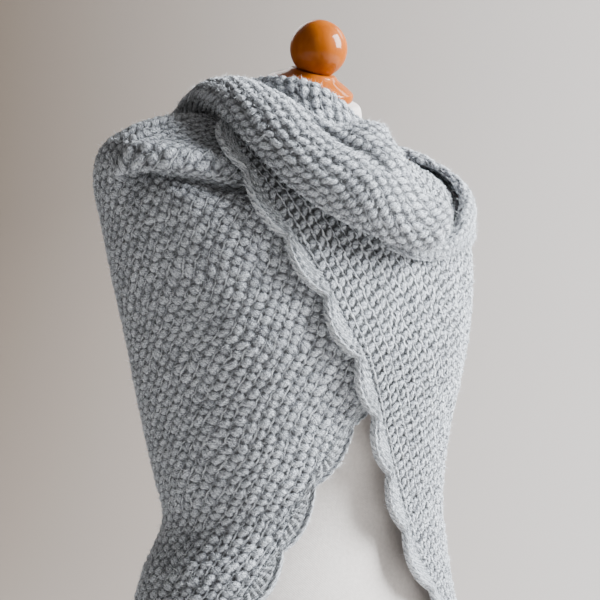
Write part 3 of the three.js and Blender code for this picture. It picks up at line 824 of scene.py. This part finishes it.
pieces = [  # object, material, node it stands for, slot
    (right_half_piece, under_yarn, "shawl_right_half", "crochet"),
    (left_half_piece, over_yarn, "shawl_left_half", "crochet"),
    (right_border, edge_yarn, "border_right_half", "crochet_border"),
    (left_border, edge_yarn, "border_left_half", "crochet_border"),
    (roll, roll_yarn, "collar_roll", "crochet"),
    (neck, roll_yarn, "neck_edge", "crochet"),
    (right_tip, roll_yarn, "right_shoulder_tip", "crochet"),
    (left_tip, roll_yarn, "left_shoulder_tip", "crochet"),
    (right_tip_border, edge_yarn, "right_shoulder_tip_border", "crochet_border"),
    (left_tip_border, edge_yarn, "left_shoulder_tip_border", "crochet_border"),
]
for piece, look, node, slot in pieces:
    piece.data.materials.append(look)
    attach(piece, "root")
    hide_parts(node)


# In metres
FIBRE_LENGTH = (0.003, 0.008)
FIBRE_ROOT = 0.0008
FIBRE_HALF_WIDTH = 0.0002


# Loose fibres that stand off the yarn, each one sliver
def fuzz(name, sources, count, seed):
    chance = np.random.default_rng(seed)
    corners = []
    total = sum(len(piece.data.vertices) for piece in sources)
    for piece in sources:
        mesh = piece.data
        n = len(mesh.vertices)
        place, normal = np.empty(n * 3, np.float32), np.empty(n * 3, np.float32)
        mesh.vertices.foreach_get("co", place)
        mesh.vertex_normals.foreach_get("vector", normal)
        place, normal = place.reshape(-1, 3).astype(float), normal.reshape(-1, 3).astype(float)
        pick = chance.choice(n, int(count * n / total), replace=False)
        root, out = place[pick], normal[pick]
        lean = chance.normal(size=root.shape)
        heading = unit(out * chance.uniform(0.2, 0.8, (len(pick), 1)) + unit(lean) * 0.75)
        facing = (heading * out).sum(-1, keepdims=True)
        heading = unit(heading - out * np.minimum(facing - 0.12, 0))
        across = unit(np.cross(heading, chance.normal(size=root.shape)))
        length = chance.uniform(*FIBRE_LENGTH, (len(pick), 1))
        root = root - heading * FIBRE_ROOT
        side = across * FIBRE_HALF_WIDTH
        corners.append(np.stack([root - side, root + side, root + heading * length], 1))
    corners = np.concatenate(corners).reshape(-1, 3)
    faces = np.arange(len(corners)).reshape(-1, 3).tolist()
    piece = plain_mesh(name, corners.tolist(), faces, smoothed=False)
    made, tree, shader = material("loose_fibre", (0.74, 0.76, 0.79), 0.9)
    place = tree.nodes.new("ShaderNodeTexCoord")
    tone = noise(tree, place.outputs["Object"], 300.0, 1.0)
    tint = ramp(tree, tone, [(0.3, (0.55, 0.57, 0.60)), (0.7, (0.90, 0.91, 0.93))])
    tree.links.new(tint, shader.inputs["Base Color"])
    piece.data.materials.append(made)
    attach(piece, "root")


fuzz("loose_fibres", [entry[0] for entry in pieces], 90000, 7)


# Faces of a stack of levels, each a ring of as many sides, with both ends closed
def turned_faces(levels, sides):
    faces = []
    for i in range(levels - 1):
        low, high = i * sides, (i + 1) * sides
        faces += [(low + j, low + (j + 1) % sides, high + (j + 1) % sides, high + j) for j in range(sides)]
    faces.append(tuple(reversed(range(sides))))
    faces.append(tuple((levels - 1) * sides + j for j in range(sides)))
    return faces


# Turned wood and the padded form, smooth and finer than the solids
def lathe(name, profile, segments=96, tilt=0.0, lift=0.0):
    profile = np.array(profile, float)
    angle = np.linspace(0, 2 * math.pi, segments, endpoint=False)
    v = np.array([(r * math.cos(a), r * math.sin(a), h) for r, h in profile for a in angle])
    c, s = math.cos(tilt), math.sin(tilt)
    v = np.stack([v[:, 0], v[:, 1] * c - v[:, 2] * s, v[:, 1] * s + v[:, 2] * c + lift], -1) * MM
    return plain_mesh(name, v.tolist(), turned_faces(len(profile), segments))


def rounded(points, radius, steps=5):
    made = []
    points = [np.array(p, float) for p in points]
    for i, p in enumerate(points):
        if i == 0 or i == len(points) - 1:
            made.append(p)
            continue
        before, after = points[i - 1] - p, points[i + 1] - p
        r = min(radius, 0.45 * np.linalg.norm(before), 0.45 * np.linalg.norm(after))
        a, b = p + unit(before) * r, p + unit(after) * r
        for k in range(steps + 1):
            t = k / steps
            made.append((1 - t)**2 * a + 2 * t * (1 - t) * p + t**2 * b)
    return made


BASE_RADIUS, BASE_HEIGHT, POLE_RADIUS, POLE_TOP, PLATE_RADIUS, TORSO_BOTTOM = 150, 24, 17, 228, 74, 240
NECK_TILT = math.radians(21)
CAP_CENTRE = 965
BALL_RADIUS, BALL_CENTRE = 31, 44

base = lathe("base_turned", rounded([(0.5, 0), (BASE_RADIUS, 0), (BASE_RADIUS, BASE_HEIGHT),
                                     (0.5, BASE_HEIGHT)], 8))
low = BASE_HEIGHT + 0.3
pole = lathe("pole_turned", rounded([(0.5, low), (POLE_RADIUS + 14, low), (POLE_RADIUS + 10, low + 8),
                                     (POLE_RADIUS, low + 16), (POLE_RADIUS, POLE_TOP - 6),
                                     (POLE_RADIUS + 6, POLE_TOP), (0.5, POLE_TOP)], 4), 48)
plate = lathe("plate_turned", rounded([(0.5, POLE_TOP + 0.3), (PLATE_RADIUS, POLE_TOP + 0.3),
                                       (PLATE_RADIUS, TORSO_BOTTOM - 0.3), (0.5, TORSO_BOTTOM - 0.3)], 3))
cap = lathe("cap_turned", rounded([(0.5, -5), (48, -5), (48.4, 0), (48, 4), (40, 9), (28, 15), (24.5, 19),
                                   (0.5, 19)], 3), tilt=NECK_TILT, lift=CAP_CENTRE)
ball_start = math.asin(-(BALL_CENTRE - 19.3) / BALL_RADIUS)
ball_profile = [(0.5, 19.3)] + [(BALL_RADIUS * math.cos(a), BALL_CENTRE + BALL_RADIUS * math.sin(a))
                                for a in np.linspace(ball_start, math.radians(89), 40)]
ball = lathe("ball_turned", ball_profile, tilt=NECK_TILT, lift=CAP_CENTRE)

FORM = np.array([  # height side front back
    [TORSO_BOTTOM, 150, 88, 108],
    [290, 168, 98, 118],
    [360, 170, 100, 116],
    [430, 150, 92, 100],
    [505, 124, 84, 82],
    [560, 128, 92, 84],
    [620, 142, 112, 90],
    [680, 154, 128, 96],
    [740, 164, 120, 102],
    [785, 172, 100, 104],
    [815, 175, 84, 96],
    [836, 179, 72, 86],
    [850, 175, 62, 76],
    [866, 153, 55, 68],
    [880, 127, 52, 62],
    [893, 97, 52, 59],
    [904, 75, 52, 57],
    [916, 62, 52, 54],
    [935, 57, 52, 52],
    [951, 56, 52, 52],
    [957.5, 54, 50, 50],
    [959, 50, 46, 46],
], float)


def torso_piece():
    levels, sides = 200, 120
    row = spline(FORM, np.linspace(0, 1, levels))
    height, side, front, back = (row[:, i:i + 1] for i in range(4))
    s, c, bulge = oval(np.linspace(0, 2 * math.pi, sides, endpoint=False)[None, :])
    x = side * s * bulge
    y = -np.where(c > 0, front, back) * c * bulge
    z = height + math.tan(NECK_TILT) * smooth(height, 900, 950) * y
    v = np.stack([x, y, z], -1).reshape(-1, 3) * MM
    return plain_mesh("torso_cover", v.tolist(), turned_faces(levels, sides))


torso = torso_piece()
for piece, look, node, slot in [
    (base, wood, "stand_base", "varnished_wood"), (pole, wood, "stand_pole", "varnished_wood"),
    (plate, wood, "form_plate", "varnished_wood"), (cap, wood, "neck_cap", "varnished_wood"),
    (ball, wood, "neck_ball", "varnished_wood"), (torso, cover, "form_torso", "linen"),
]:
    piece.data.materials.append(look)
    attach(piece, "root")
    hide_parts(node)


# Floor that sweeps up to a wall far behind, its paper darkened away from the window as painted shade
RIGHT, AWAY = np.array([0.788, -0.616, 0]), np.array([0.616, 0.788, 0])
SWEEP_START, SWEEP_RADIUS = 1.9, 1.9
FLOOR_REACH, WALL_TOP = 9, 7
PAPER = (0.62, 0.60, 0.58)


def studio(right, away, up):
    return tuple(RIGHT * right + AWAY * away + np.array([0, 0, up]))


def sweep():
    profile = [(-FLOOR_REACH, 0), (SWEEP_START, 0)]
    profile += [(SWEEP_START + SWEEP_RADIUS * math.sin(a), SWEEP_RADIUS * (1 - math.cos(a)))
                for a in np.linspace(0, math.pi / 2, 33)[1:]]
    profile.append((SWEEP_START + SWEEP_RADIUS, WALL_TOP))
    corners = [studio(side, away, up) for away, up in profile for side in (-FLOOR_REACH, FLOOR_REACH)]
    faces = [(2 * i, 2 * i + 1, 2 * i + 3, 2 * i + 2) for i in range(len(profile) - 1)]
    floor = plain_mesh("floor", corners, faces)
    made, tree, shader = material("paper", PAPER, 0.95)
    floor.data.materials.append(made)
    place = tree.nodes.new("ShaderNodeTexCoord")
    split = tree.nodes.new("ShaderNodeSeparateXYZ")
    tree.links.new(place.outputs["Object"], split.inputs[0])
    x, y = Sum(tree, split.outputs[0]), Sum(tree, split.outputs[1])
    # painted shade: warmer and darker away from the window, standing for the window light's fall-off; the
    # floor near the form stays plain paper
    painted_window_falloff = ramp(tree, (x * 0.788 - y * 0.616) * 0.45 + 0.5,
                [(0.0, (0.21, 0.165, 0.13)), (0.5, (0.38, 0.335, 0.305)), (1.0, (0.51, 0.475, 0.455))])
    mix = tree.nodes.new("ShaderNodeMix")
    mix.data_type = "RGBA"
    tree.links.new((x * 0.616 + y * 0.788).op("SUBTRACT", 0.9, clamp=True).socket, mix.inputs[0])
    mix.inputs[6].default_value = (*PAPER, 1)
    tree.links.new(painted_window_falloff, mix.inputs[7])
    tree.links.new(mix.outputs[2], shader.inputs["Base Color"])


sweep()


def area_light(name, place, aim, size, power, colour):
    data = bpy.data.lights.new(name, "AREA")
    data.shape = "RECTANGLE"
    data.size, data.size_y = size
    data.energy = power
    data.color = colour
    lamp = linked(name, data)
    lamp.location = place
    lamp.rotation_euler = (Vector(aim) - Vector(place)).to_track_quat("-Z", "Y").to_euler()


DAYLIGHT, WARM = (0.885, 0.95, 1.0), (1.0, 0.985, 0.97)
area_light("window", studio(2.2, -0.15, 1.85), (0, 0, 0.75), (1.2, 1.6), 520, DAYLIGHT)
area_light("wash", studio(2.4, 2.2, 3.0), studio(0.7, 3.9, 0.9), (1.6, 1.6), 110, WARM)
area_light("fill", studio(-0.6, -3.0, 2.0), (0, 0, 0.7), (2.4, 2.4), 8, WARM)
area_light("back", studio(-0.9, 2.5, 2.5), (0, 0, 0.6), (1.5, 1.5), 40, WARM)
world = bpy.data.worlds.new("studio")
world.use_nodes = True
world.node_tree.nodes["Background"].inputs["Color"].default_value = (1.0, 0.985, 0.955, 1)
world.node_tree.nodes["Background"].inputs["Strength"].default_value = 0.20
bpy.context.scene.world = world

# The photo's viewing angle, level with the chest
LENS = 88.3
CAMERA_PLACE = (-0.9936, -1.2541, 0.735)
camera_data = bpy.data.cameras.new("camera")
camera_data.sensor_width = 36
camera_data.lens = LENS
camera = linked("camera", camera_data)
camera.location = CAMERA_PLACE
camera.rotation_euler = (math.pi / 2, 0, -math.atan2(AWAY[0], AWAY[1]))
bpy.context.scene.camera = camera
